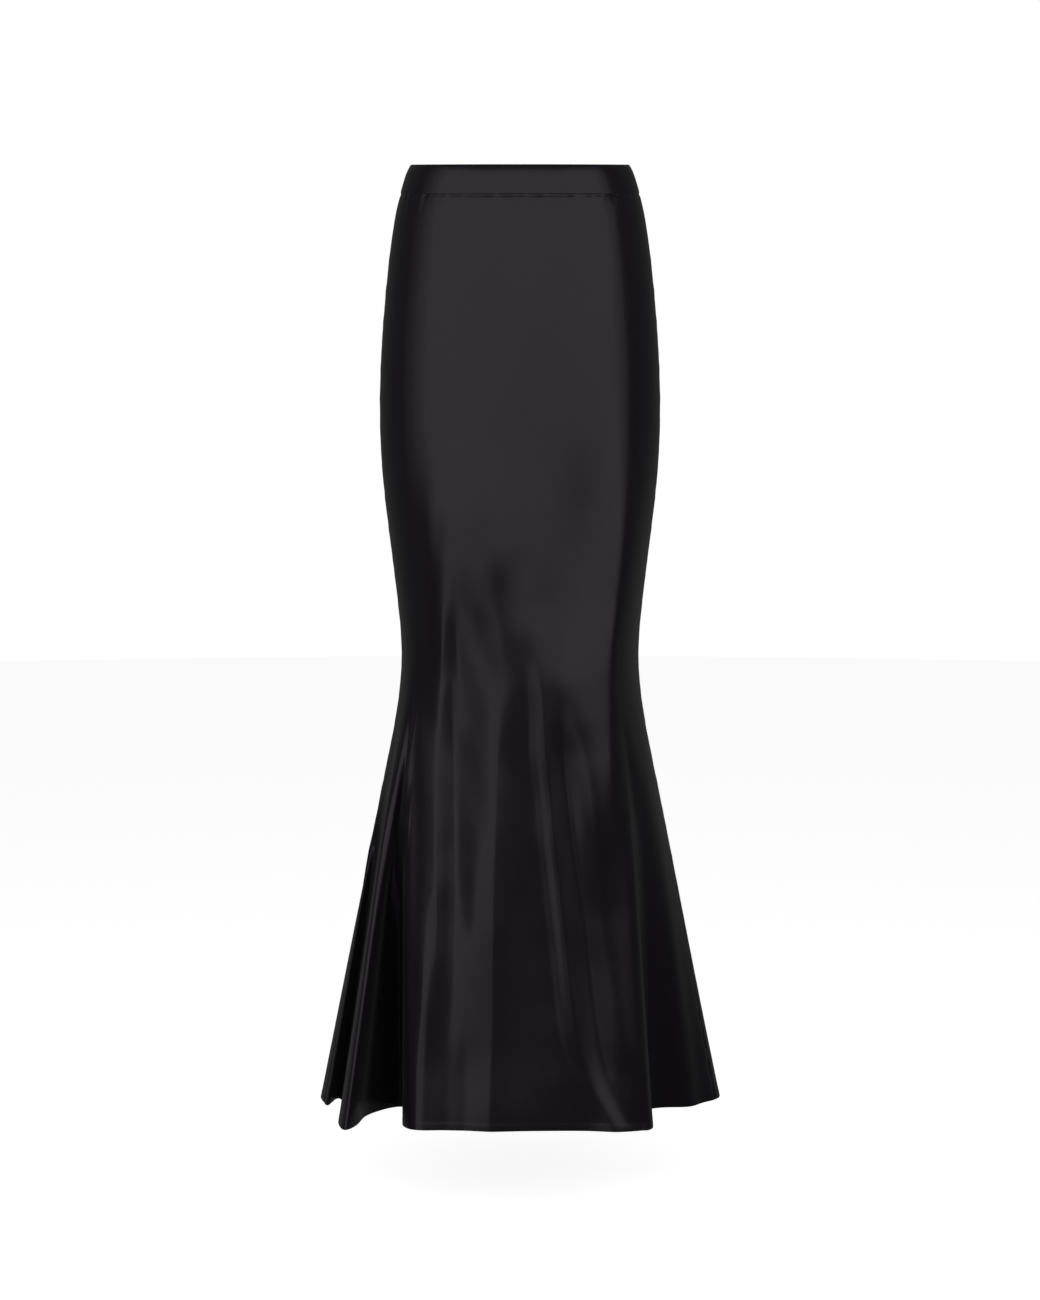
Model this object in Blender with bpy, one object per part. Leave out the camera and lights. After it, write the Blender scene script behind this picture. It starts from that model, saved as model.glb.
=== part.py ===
"""Bias-cut maxi skirt, worn: fitted hips, narrow knee, flared hem falling in deep flutes.

Metres, +Z up, front towards -Y, the wearer's left towards +X.
The origin is the middle of the waist opening, level with the band's top edge.
"""
import math

import bmesh
import bpy
import numpy as np
from mathutils import Matrix, Vector

# Driving dimensions
LENGTH = 1.100            # band's top edge to hem
BAND_HEIGHT = 0.034
PANEL_WALL = 0.0015       # cloth wall of the panels
BAND_WALL = 0.0020        # folded and stiffened cloth of the waistband
SEAM_GAP = 0.0003         # clearance between pieces at every seam
COLUMN_STEP = 0.026       # widest column of a panel, measured along the hem
HIPS_END = 0.480          # drop where the close rows around the knee start
KNEE_END = 0.800          # and where they end
ROWS_OVER_HIPS = 9
ROWS_AT_KNEE = 8
ROWS_IN_FLARE = 5
NORMAL_STEP = 0.001
FOLD_EASE = 0.22          # how softly a fold opens below its start

# Concealed zip in the centre-back seam
ZIP_LENGTH = 0.205
TAPE_WIDTH = 0.0120
TAPE_WALL = 0.0010
TAPE_DEPTH = BAND_WALL + 0.0006    # tape's face below the outer face of the cloth
TAPE_INSET = 0.0012       # tape's inner edge from the seam line
COIL_WIDTH = 0.0017
COIL_WALL = 0.0014
TAPE_TOP = 0.0040         # drop of the tapes' upper ends
TAPE_TAIL = 0.0120        # tape left below the zip's end
TAPE_COLUMNS = 3
STRIP_ROWS = 10
COIL_START = 0.0012       # clearance below the slider
STOP_LENGTH = 0.0037
STOP_EXTRA = 0.0004       # how much thicker the bottom stop is than the coil
SLIDER_DROP = 0.0120      # middle of the slider below the band's top edge
SLIDER_LENGTH = 0.0084
SLIDER_WIDTH = 0.0056
SLIDER_DEPTH = 0.0018
NECK_WIDTH = 0.0014       # neck that passes between the parted edges
NECK_LENGTH = 0.00504
NECK_ROOT = 0.0005        # how far the neck sinks into the body
PLATE_WIDTH = 0.0034
PLATE_LENGTH = 0.00756
PLATE_THICKNESS = 0.0007
BRIDGE_WIDTH = 0.0014     # bridge the tab hangs on
BRIDGE_ROOM = 0.0020      # clear height under the bridge
BRIDGE_WALL = 0.0007
BRIDGE_SETBACK = 0.0013   # bridge's feet from the plate's ends
JOIN = 0.0002             # overlap where two bodies of the slider join
SLIDER_PARTING = 0.0011   # half the parting of the cloth at the slider
PARTING_FOOT = 0.0175     # drop where the parted cloth starts to close again
TAB_LENGTH = 0.0200
TAB_WIDTH = 0.0046
TAB_THICKNESS = 0.0008
TAB_TOP_WIDTH = 0.0040
TAB_BAR = 0.0005          # half the height of the bar the tab swings on
TAB_SLOT_WIDTH = 0.0024
TAB_SLOT_LENGTH = 0.0052
TAB_ROUND_STEPS = 8
TAB_LEAN = math.radians(2.0)   # tab's lean towards the cloth

# Level sections of the body of the skirt, by drop below the top edge:
# half width, reach to the front, reach to the back, and how flat the front is, from 0 for a
# true ellipse to 0.5 for a front that is straight in the middle
SECTIONS = (
    ("top edge", 0.000, 0.1285, 0.0940, 0.0880, 0.16),
    ("band seam", 0.034, 0.1390, 0.1010, 0.0940, 0.16),
    ("belly", 0.080, 0.1482, 0.1090, 0.1050, 0.16),
    ("high hip", 0.140, 0.1555, 0.1155, 0.1190, 0.16),
    ("seat", 0.210, 0.1612, 0.1200, 0.1290, 0.16),
    ("hip", 0.290, 0.1636, 0.1245, 0.1280, 0.16),
    ("under seat", 0.360, 0.1606, 0.1290, 0.1170, 0.18),
    ("thigh", 0.440, 0.1516, 0.1340, 0.1030, 0.24),
    ("above knee", 0.510, 0.1431, 0.1370, 0.0950, 0.34),
    ("knee", 0.570, 0.1388, 0.1395, 0.0920, 0.44),
    ("below knee", 0.630, 0.1436, 0.1425, 0.0970, 0.48),
    ("shin", 0.700, 0.1566, 0.1465, 0.1100, 0.50),
    ("flare", 0.800, 0.1760, 0.1550, 0.1310, 0.50),
    ("low flare", 0.950, 0.2036, 0.1730, 0.1600, 0.50),
    ("hem", 1.100, 0.2310, 0.1950, 0.1880, 0.50),
)

# Body under the front of the cloth: angle, drop, reach around in degrees, reach up and reach
# down the cloth, push outwards
SWELLS = (
    ("left thigh edge", 60, 0.470, 22, 0.130, 0.130, 0.030),
    ("left shin forward", 38, 0.760, 20, 0.120, 0.200, 0.014),
    ("right knee back", -44, 0.600, 27, 0.110, 0.420, -0.014),
)

# Folds, in order around the skirt from the right side seam across the front, to the left
# side seam and across the back: angle on the body (0 front, 90 wearer's left), drop where
# the fold starts, and the place across (x) and in depth (y) that it reaches at the hem
FOLDS = (
    ("right side seam", -90, 0.62, -0.2310, -0.0310),
    ("right side flute", -85, 0.62, -0.2265, -0.0480),
    ("right side hollow", -80, 0.62, -0.2150, -0.0060),
    ("right flute back", -76, 0.60, -0.2085, -0.0240),
    ("right flute wall", -72, 0.60, -0.2080, -0.1640),
    ("right flute tip", -68, 0.58, -0.2000, -0.1900),
    ("right flute turn", -65, 0.58, -0.1890, -0.1660),
    ("right flute face", -61, 0.58, -0.1760, -0.1020),
    ("right recess", -56, 0.70, -0.1400, -0.0560),
    ("panel right wall", -53, 0.70, -0.1330, -0.1150),
    ("panel right turn", -51, 0.70, -0.1300, -0.1800),
    ("panel right corner", -48, 0.58, -0.1190, -0.1950),
    ("panel right", -36, 0.58, -0.0860, -0.1960),
    ("panel right middle", -18, 0.58, -0.0430, -0.1960),
    ("panel middle", 0, 0.58, 0.0000, -0.1970),
    ("panel left middle", 18, 0.58, 0.0440, -0.1990),
    ("panel left", 36, 0.58, 0.0880, -0.2050),
    ("panel left swell", 49, 0.58, 0.1270, -0.2110),
    ("panel left corner", 54, 0.60, 0.1440, -0.1980),
    ("panel left wall", 57, 0.62, 0.1480, -0.1300),
    ("left recess", 60, 0.66, 0.1490, -0.0740),
    ("left flat", 65, 0.68, 0.1700, -0.0600),
    ("left flat edge", 72, 0.68, 0.1980, -0.0560),
    ("left groove", 78, 0.66, 0.2140, -0.0340),
    ("left side seam", 90, 0.64, 0.2310, -0.0120),
    ("left back flute", 98, 0.62, 0.2240, 0.0440),
    ("left back hollow", 108, 0.60, 0.1640, 0.0560),
    ("left hind flute side", 117, 0.60, 0.1880, 0.1280),
    ("left hind flute", 124, 0.60, 0.1680, 0.1560),
    ("left hind hollow", 137, 0.60, 0.1060, 0.1010),
    ("left tail flute", 149, 0.60, 0.1010, 0.1920),
    ("left tail flute side", 157, 0.60, 0.0700, 0.1980),
    ("left tail hollow", 168, 0.62, 0.0370, 0.1290),
    ("back seam", 180, 0.62, 0.0020, 0.1640),
    ("right tail hollow", 192, 0.62, -0.0350, 0.1230),
    ("right tail flute side", 202, 0.60, -0.0660, 0.2010),
    ("right tail flute", 210, 0.60, -0.0980, 0.1930),
    ("right hind hollow", 223, 0.60, -0.1070, 0.1060),
    ("right hind flute", 236, 0.60, -0.1700, 0.1540),
    ("right hind flute side", 244, 0.60, -0.1900, 0.1260),
    ("right back hollow", 253, 0.60, -0.1680, 0.0590),
    ("right back flute", 262, 0.62, -0.2240, 0.0360),
)
RIGHT_SEAM = 0
LEFT_SEAM = [fold[0] for fold in FOLDS].index("left side seam")
BACK_SEAM = [fold[0] for fold in FOLDS].index("back seam")

MATERIALS = {
    "satin": ((0.012, 0.011, 0.013, 1.0), 0.34, 0.0),
    "satin_band": ((0.014, 0.013, 0.015, 1.0), 0.36, 0.0),
    "tape": ((0.010, 0.010, 0.011, 1.0), 0.85, 0.0),
    "lacquered_metal": ((0.016, 0.016, 0.018, 1.0), 0.35, 0.6),
}


def clear_scene():
    for item in list(bpy.data.objects):
        bpy.data.objects.remove(item, do_unlink=True)


def new_collection(name):
    collection = bpy.data.collections.new(name)
    bpy.context.scene.collection.children.link(collection)
    return collection


def make_material(name):
    colour, roughness, metallic = MATERIALS[name]
    material = bpy.data.materials.new(name)
    material.use_nodes = True
    shader = material.node_tree.nodes["Principled BSDF"]
    shader.inputs["Base Color"].default_value = colour
    shader.inputs["Roughness"].default_value = roughness
    shader.inputs["Metallic"].default_value = metallic
    return material


def cubic_slopes(knots, values, closed):
    """Slopes at the knots of the smoothest cubic curve through the values."""
    count = len(values)
    widths = np.diff(knots)
    matrix = np.zeros((count, count))
    right = np.zeros(values.shape)
    for i in range(count):
        if not closed and i in (0, count - 1):
            near = 1 if i == 0 else count - 2
            matrix[i, i] = 2.0
            matrix[i, near] = 1.0
            right[i] = 3.0 * (values[near] - values[i]) / (knots[near] - knots[i])
            continue
        before, after = widths[i - 1], widths[i % len(widths)]
        following = (i + 1) % count
        matrix[i, i - 1] += 1.0 / before
        matrix[i, i] += 2.0 / before + 2.0 / after
        matrix[i, following] += 1.0 / after
        right[i] = 3.0 * ((values[i] - values[i - 1]) / before ** 2
                          + (values[following] - values[i]) / after ** 2)
    return np.linalg.solve(matrix, right)


def hermite(start, end, slope_in, slope_out, width, t):
    """Point at share t of a cubic stretch with these ends and slopes."""
    return ((1 + 2 * t) * (1 - t) ** 2 * start + t * t * (3 - 2 * t) * end
            + width * (t * (1 - t) ** 2 * slope_in - t * t * (1 - t) * slope_out))


SECTION_DROPS = np.array([row[1] for row in SECTIONS])
SECTION_SIZES = np.array([row[2:] for row in SECTIONS])
SECTION_SLOPES = cubic_slopes(SECTION_DROPS, SECTION_SIZES, False)


def section_at(drop):
    """Half width, front reach, back reach and flatness of the front at a drop."""
    i = int(np.clip(np.searchsorted(SECTION_DROPS, drop) - 1, 0, len(SECTION_DROPS) - 2))
    width = SECTION_DROPS[i + 1] - SECTION_DROPS[i]
    return hermite(SECTION_SIZES[i], SECTION_SIZES[i + 1], SECTION_SLOPES[i],
                   SECTION_SLOPES[i + 1], width, (drop - SECTION_DROPS[i]) / width)


def body_point(angle, drop):
    """Point (x, y) of the unfolded skirt at an angle around the body."""
    half_width, front, back, flatness = section_at(drop)
    across, ahead = math.sin(angle), math.cos(angle)
    if ahead <= 0:
        return np.array((half_width * across, -back * ahead))
    for _, middle, level, reach, rise, fall, push in SWELLS:
        around = (math.degrees(angle) - middle) / reach
        down = (drop - level) / (rise if drop < level else fall)
        front += push * math.exp(-around ** 2 - down ** 2)
    return np.array((half_width * across, -front * ahead * (1 + flatness * across ** 2)))


def fold_share(drop, start):
    """How far a fold has opened at a drop: 0 down to its start, 1 at the hem."""
    run = max(0.0, (drop - start) / (LENGTH - start))
    return (math.hypot(run, FOLD_EASE) - FOLD_EASE) / (math.hypot(1.0, FOLD_EASE) - FOLD_EASE)


def fold_line(fold, drop):
    """Point (x, y) of one fold at a drop."""
    _, degrees, start, hem_x, hem_y = fold
    angle = math.radians(degrees)
    shift = np.array((hem_x, hem_y)) - body_point(angle, LENGTH)
    return body_point(angle, drop) + shift * fold_share(drop, start)


def column_places():
    """Columns as (fold index, share towards the next fold), crowded near each fold."""
    places = []
    for i, fold in enumerate(FOLDS):
        following = FOLDS[(i + 1) % len(FOLDS)]
        reach = math.dist(fold[3:], following[3:])
        count = max(1, round(reach / COLUMN_STEP))
        places += [(i, (1 - math.cos(math.pi * k / count)) / 2) for k in range(count)]
    return places


def panel_drops():
    """Drops of a panel's rows: even over the hips, closest at the knee, long down the flare."""
    stretches = (
        (BAND_HEIGHT + SEAM_GAP, HIPS_END, ROWS_OVER_HIPS),
        (HIPS_END, KNEE_END, ROWS_AT_KNEE),
        (KNEE_END, LENGTH, ROWS_IN_FLARE),
    )
    drops = [np.linspace(top, end, rows, endpoint=False) for top, end, rows in stretches]
    return np.append(np.concatenate(drops), LENGTH)


def ring_at(drop, places):
    """Outer points of the whole ring at a drop, one for each column."""
    lines = np.array([fold_line(fold, drop) for fold in FOLDS])
    steps = np.linalg.norm(np.roll(lines, -1, axis=0) - lines, axis=1)
    knots = np.concatenate(([0.0], np.cumsum(steps)))
    slopes = cubic_slopes(knots, lines, True)
    ring = []
    for i, share in places:
        after = (i + 1) % len(FOLDS)
        x, y = hermite(lines[i], lines[after], slopes[i], slopes[after], steps[i], share)
        ring.append((x, y, -drop))
    return np.array(ring)


def normals_at(drop, places):
    """Outward normals of the ring at a drop, the same for whatever meets there."""
    ring = ring_at(drop, places)
    around = np.roll(ring, -1, axis=0) - np.roll(ring, 1, axis=0)
    down = ring_at(drop + NORMAL_STEP, places) - ring_at(drop - NORMAL_STEP, places)
    normals = np.cross(down, around)
    return normals / np.linalg.norm(normals, axis=1, keepdims=True)


def seam_clearance(drop, at_back):
    """Half the gap left at a seam, wider where the zip's slider parts the cloth."""
    if not at_back:
        return SEAM_GAP / 2
    closed = np.clip((drop - PARTING_FOOT) / (BAND_HEIGHT - PARTING_FOOT), 0.0, 1.0)
    return SLIDER_PARTING + (SEAM_GAP / 2 - SLIDER_PARTING) * closed


def cut_panel(rings, normals, first, last, wall, back_edges):
    """Outer and inner grids of the columns first to last, drawn in from both seams."""
    columns = np.arange(first, last + 1) % rings.shape[1]
    outer = rings[:, columns].copy()
    inner = outer - wall * normals[:, columns]
    for edge, neighbour, at_back in ((0, 1, back_edges[0]), (-1, -2, back_edges[1])):
        along = outer[:, neighbour] - outer[:, edge]
        along /= np.linalg.norm(along, axis=1, keepdims=True)
        clear = np.array([seam_clearance(-z, at_back) for z in outer[:, edge, 2]])[:, None]
        outer[:, edge] += along * clear
        inner[:, edge] += along * clear
    return outer, inner


def add_object(name, mesh, material, collection):
    mesh.materials.append(material)
    item = bpy.data.objects.new(name, mesh)
    collection.objects.link(item)
    return item


def wall_object(name, outer, inner, material, collection):
    """Closed wall between two matching grids of points, loft faces on all six sides."""
    rows, columns = outer.shape[:2]
    work = bmesh.new()
    skin = [[[work.verts.new(point) for point in row] for row in grid] for grid in (outer, inner)]
    front, back = skin
    for r in range(rows - 1):
        for c in range(columns - 1):
            work.faces.new((front[r][c], front[r + 1][c], front[r + 1][c + 1], front[r][c + 1]))
            work.faces.new((back[r][c], back[r][c + 1], back[r + 1][c + 1], back[r + 1][c]))
    for r in range(rows - 1):
        work.faces.new((front[r][0], back[r][0], back[r + 1][0], front[r + 1][0]))
        work.faces.new((front[r][-1], front[r + 1][-1], back[r + 1][-1], back[r][-1]))
    for c in range(columns - 1):
        work.faces.new((front[0][c], front[0][c + 1], back[0][c + 1], back[0][c]))
        work.faces.new((front[-1][c], back[-1][c], back[-1][c + 1], front[-1][c + 1]))
    bmesh.ops.triangulate(work, faces=work.faces)
    bmesh.ops.recalc_face_normals(work, faces=work.faces)
    mesh = bpy.data.meshes.new(name)
    work.to_mesh(mesh)
    work.free()
    mesh.shade_smooth()
    mesh.set_sharp_from_angle(angle=math.radians(50))
    return add_object(name, mesh, material, collection)


def build_cloth(materials, collection):
    """Waistband and panels, each a front piece and two back pieces."""
    places = column_places()
    seams = {fold: places.index((fold, 0.0)) for fold in (RIGHT_SEAM, LEFT_SEAM, BACK_SEAM)}
    right, left, back = (seams[fold] for fold in (RIGHT_SEAM, LEFT_SEAM, BACK_SEAM))
    pieces = (
        ("front", right, left, (False, False)),
        ("back_left", left, back, (False, True)),
        ("back_right", back, len(places), (True, False)),
    )
    layers = (
        ("waistband", np.array((0.0, PARTING_FOOT, BAND_HEIGHT)), BAND_WALL, "satin_band"),
        ("panel", panel_drops(), PANEL_WALL, "satin"),
    )
    for layer, drops, wall, slot in layers:
        rings = np.array([ring_at(drop, places) for drop in drops])
        normals = np.array([normals_at(drop, places) for drop in drops])
        for piece, first, last, back_edges in pieces:
            outer, inner = cut_panel(rings, normals, first, last, wall, back_edges)
            wall_object(f"{layer}_{piece}", outer, inner, materials[slot], collection)


def back_line(drop, inset):
    """Point (y, z) on the centre-back line, this far inside the outer face."""
    step = 0.002
    low = section_at(drop + step)[2]
    high = section_at(max(0.0, drop - step))[2]
    slope = math.atan2(low - high, 2 * step if drop >= step else drop + step)
    return section_at(drop)[2] - inset * math.cos(slope), -drop - inset * math.sin(slope)


def zip_strip(name, edges, top, end, inset, wall, material, collection):
    """Strip that follows the centre-back line between two places across."""
    drops = np.linspace(top, end, STRIP_ROWS)
    half_width, _, back, _ = np.array([section_at(drop) for drop in drops]).T
    grids = []
    for depth in (inset, inset + wall):
        grid = []
        for drop, width, reach in zip(drops, half_width, back):
            y, z = back_line(drop, depth)
            grid.append([(x, y - reach * (1 - math.sqrt(1 - (x / width) ** 2)), z) for x in edges])
        grids.append(np.array(grid))
    return wall_object(name, grids[0], grids[1], material, collection)


def build_zip(materials, collection, cutters):
    """Tapes, coil, bottom stop and slider, all still, and the pull tab on its hinge."""
    for side, name in ((1, "zip_tape_left"), (-1, "zip_tape_right")):
        edges = [side * (TAPE_INSET + TAPE_WIDTH * k / TAPE_COLUMNS) for k in range(TAPE_COLUMNS + 1)]
        strip_edges = edges[::-1] if side > 0 else edges
        zip_strip(name, strip_edges, TAPE_TOP, ZIP_LENGTH + TAPE_TAIL, TAPE_DEPTH, TAPE_WALL,
                  materials["tape"], collection)
    coil_edges = (COIL_WIDTH / 2, 0.0, -COIL_WIDTH / 2)
    zip_strip("zip_coil", coil_edges, SLIDER_DROP + SLIDER_LENGTH / 2 + COIL_START, ZIP_LENGTH,
              TAPE_DEPTH, COIL_WALL, materials["tape"], collection)
    stop_top = ZIP_LENGTH + SEAM_GAP
    zip_strip("zip_stop", coil_edges, stop_top, stop_top + STOP_LENGTH, TAPE_DEPTH,
              COIL_WALL + STOP_EXTRA, materials["lacquered_metal"], collection)
    build_slider(materials, collection, cutters)


def slider_bodies(inside, plate_out):
    """Boxes that join into the slider: label, size and centre, +Y away from the cloth."""
    bridge_out = plate_out + BRIDGE_ROOM
    neck_top, neck_foot = plate_out - JOIN, inside - NECK_ROOT
    foot_size = (BRIDGE_WIDTH, BRIDGE_ROOM + 2 * JOIN, PLATE_THICKNESS)
    foot_out = plate_out + BRIDGE_ROOM / 2
    foot_up = (PLATE_LENGTH - BRIDGE_SETBACK) / 2
    return (
        ("body", (SLIDER_WIDTH, SLIDER_DEPTH, SLIDER_LENGTH), (0, inside - SLIDER_DEPTH / 2, 0)),
        ("neck", (NECK_WIDTH, neck_top - neck_foot, NECK_LENGTH), (0, (neck_top + neck_foot) / 2, 0)),
        ("plate", (PLATE_WIDTH, PLATE_THICKNESS, PLATE_LENGTH), (0, plate_out - PLATE_THICKNESS / 2, 0)),
        ("upper foot", foot_size, (0, foot_out, foot_up)),
        ("lower foot", foot_size, (0, foot_out, -foot_up)),
        ("bridge", (BRIDGE_WIDTH, BRIDGE_WALL, 2 * foot_up + PLATE_THICKNESS),
         (0, bridge_out + BRIDGE_WALL / 2, 0)),
    )


def box_object(name, size, centre, seat, collection):
    work = bmesh.new()
    made = bmesh.ops.create_cube(work, size=1.0)
    bmesh.ops.scale(work, vec=size, verts=made["verts"])
    bmesh.ops.translate(work, vec=centre, verts=made["verts"])
    mesh = bpy.data.meshes.new(name)
    work.to_mesh(mesh)
    work.free()
    item = bpy.data.objects.new(name, mesh)
    collection.objects.link(item)
    item.matrix_world = seat
    return item


def build_slider(materials, collection, cutters):
    """Slider with its bridge, and the tab that swings on the bar under the bridge."""
    half = SLIDER_LENGTH / 2
    top, low = (np.array(back_line(drop, 0.0)) for drop in (SLIDER_DROP - half, SLIDER_DROP + half))
    slope = math.atan2(low[0] - top[0], top[1] - low[1])
    y, z = back_line(SLIDER_DROP, 0.0)
    seat = Matrix.Translation((0.0, y, z)) @ Matrix.Rotation(slope, 4, "X")
    inside = -(TAPE_DEPTH + TAPE_WALL + SEAM_GAP)
    plate_out = SEAM_GAP + PLATE_THICKNESS
    bodies = slider_bodies(inside, plate_out)
    slider = box_object("zip_slider", *bodies[0][1:], seat, collection)
    slider.data.materials.append(materials["lacquered_metal"])
    for label, size, centre in bodies[1:]:
        tool = box_object(f"slider {label}", size, centre, seat, cutters)
        tool.hide_render = True
        tool.display_type = "WIRE"
        union = slider.modifiers.new(label, "BOOLEAN")
        union.operation = "UNION"
        union.solver = "EXACT"
        union.object = tool
    build_tab(materials, collection, seat, slope, plate_out + BRIDGE_ROOM / 2)


def build_tab(materials, collection, seat, slope, axle_out):
    """Teardrop tab with a slot, hung by the slot's upper bar."""
    hinge = bpy.data.objects.new("zip_tab_hinge", None)
    collection.objects.link(hinge)
    hinge.matrix_world = Matrix.Translation(seat @ Vector((0.0, axle_out, 0.0)))

    outline = bpy.data.curves.new("zip_pull_tab", "CURVE")
    outline.dimensions = "2D"
    outline.fill_mode = "BOTH"
    outline.extrude = TAB_THICKNESS / 2
    half, top_half, slot_half = TAB_WIDTH / 2, TAB_TOP_WIDTH / 2, TAB_SLOT_WIDTH / 2
    turns = [math.pi * k / TAB_ROUND_STEPS for k in range(TAB_ROUND_STEPS + 1)]
    round_end = [(half * math.cos(turn), half - TAB_LENGTH - half * math.sin(turn)) for turn in turns]
    rim = [(-top_half, TAB_BAR), (top_half, TAB_BAR)] + round_end
    slot = [(-slot_half, -TAB_BAR), (slot_half, -TAB_BAR),
            (slot_half, -TAB_SLOT_LENGTH), (-slot_half, -TAB_SLOT_LENGTH)]
    for loop in (rim, slot):
        spline = outline.splines.new("POLY")
        spline.points.add(len(loop) - 1)
        for point, (x, height) in zip(spline.points, loop):
            point.co = (x, height, 0.0, 1.0)
        spline.use_cyclic_u = True
    flat = bpy.data.objects.new("tab outline", outline)
    collection.objects.link(flat)
    mesh = bpy.data.meshes.new_from_object(flat.evaluated_get(bpy.context.evaluated_depsgraph_get()))
    bpy.data.objects.remove(flat, do_unlink=True)
    work = bmesh.new()
    work.from_mesh(mesh)
    bmesh.ops.remove_doubles(work, verts=work.verts, dist=1e-6)
    upright = Matrix.Rotation(math.radians(90), 4, "X")
    hanging = Matrix.Rotation(slope - TAB_LEAN, 4, "X")
    bmesh.ops.transform(work, matrix=hanging @ upright, verts=work.verts)
    bmesh.ops.recalc_face_normals(work, faces=work.faces)
    work.to_mesh(mesh)
    work.free()
    mesh.materials.clear()
    tab = add_object("zip_pull_tab", mesh, materials["lacquered_metal"], collection)
    tab.parent = hinge


def main():
    clear_scene()
    collection = new_collection("bias_cut_maxi_skirt")
    cutters = new_collection("cutters")
    materials = {name: make_material(name) for name in MATERIALS}
    build_cloth(materials, collection)
    build_zip(materials, collection, cutters)


main()
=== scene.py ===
import math

import bmesh
import bpy
import numpy as np
from mathutils import Matrix, Vector


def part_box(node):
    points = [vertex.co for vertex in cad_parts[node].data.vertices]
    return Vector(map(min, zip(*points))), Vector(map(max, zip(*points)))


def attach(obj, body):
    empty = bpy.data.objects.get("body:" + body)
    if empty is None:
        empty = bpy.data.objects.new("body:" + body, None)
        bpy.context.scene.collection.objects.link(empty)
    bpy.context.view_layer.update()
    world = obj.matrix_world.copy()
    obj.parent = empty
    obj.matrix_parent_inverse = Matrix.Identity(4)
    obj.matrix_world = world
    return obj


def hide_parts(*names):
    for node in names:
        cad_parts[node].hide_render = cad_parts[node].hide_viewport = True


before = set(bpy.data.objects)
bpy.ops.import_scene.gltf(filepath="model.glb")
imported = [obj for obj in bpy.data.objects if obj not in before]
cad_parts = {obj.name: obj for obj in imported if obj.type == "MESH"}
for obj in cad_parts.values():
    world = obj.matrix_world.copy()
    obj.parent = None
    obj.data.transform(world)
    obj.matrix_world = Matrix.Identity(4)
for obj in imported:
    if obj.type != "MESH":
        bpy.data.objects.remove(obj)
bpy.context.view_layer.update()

skirtLength = -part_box("panel_front")[0].z
bandHeight = -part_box("waistband_front")[0].z


def toLinear(code):
    # sRGB hex to the linear colour the shader takes
    values = [int(code[i:i + 2], 16) / 255 for i in (1, 3, 5)]
    linear = [v / 12.92 if v <= 0.04045 else ((v + 0.055) / 1.055) ** 2.4 for v in values]
    return (*linear, 1.0)


def node(tree, kind, settings=None, **links):
    # one node, its plain settings, and what feeds its inputs (a number, colour or socket)
    made = tree.nodes.new(kind)
    for name, value in (settings or {}).items():
        setattr(made, name, value)
    for name, value in links.items():
        key = int(name[2:]) if name.startswith("in") and name[2:].isdigit() else name.replace("_", " ")
        if isinstance(value, bpy.types.NodeSocket):
            tree.links.new(value, made.inputs[key])
        else:
            made.inputs[key].default_value = value
    return made


# level sections by drop below the band's top edge: half width, reach forward, reach back and how
# flat the front is, from 0 for a true ellipse to 0.5 for a front that is straight in the middle
sections = (
    ("top edge", 0.0, 0.1285, 0.094, 0.088, 0.16),
    ("band seam", 0.034, 0.139, 0.101, 0.094, 0.16),
    ("belly", 0.08, 0.1482, 0.109, 0.105, 0.16),
    ("high hip", 0.14, 0.1555, 0.1155, 0.119, 0.16),
    ("seat", 0.21, 0.1612, 0.12, 0.129, 0.16),
    ("hip", 0.29, 0.1636, 0.1245, 0.128, 0.16),
    ("under seat", 0.36, 0.1606, 0.129, 0.117, 0.18),
    ("thigh", 0.44, 0.1516, 0.134, 0.103, 0.24),
    ("above knee", 0.51, 0.1431, 0.137, 0.095, 0.34),
    ("knee", 0.57, 0.1388, 0.1395, 0.092, 0.44),
    ("below knee", 0.63, 0.1436, 0.1425, 0.097, 0.48),
    ("shin", 0.7, 0.1566, 0.1465, 0.11, 0.5),
    ("flare", 0.8, 0.176, 0.155, 0.131, 0.5),
    ("low flare", 0.95, 0.2036, 0.173, 0.16, 0.5),
    ("hem", 1.1, 0.231, 0.195, 0.188, 0.5),
)

# the body under the front: angle, drop, reach around in degrees, reach up and down, push outwards
swells = (
    ("left thigh edge", 60, 0.47, 22, 0.13, 0.13, 0.03),
    ("left shin forward", 38, 0.76, 20, 0.12, 0.2, 0.014),
    ("right knee back", -44, 0.6, 27, 0.11, 0.42, -0.014),
)

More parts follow.
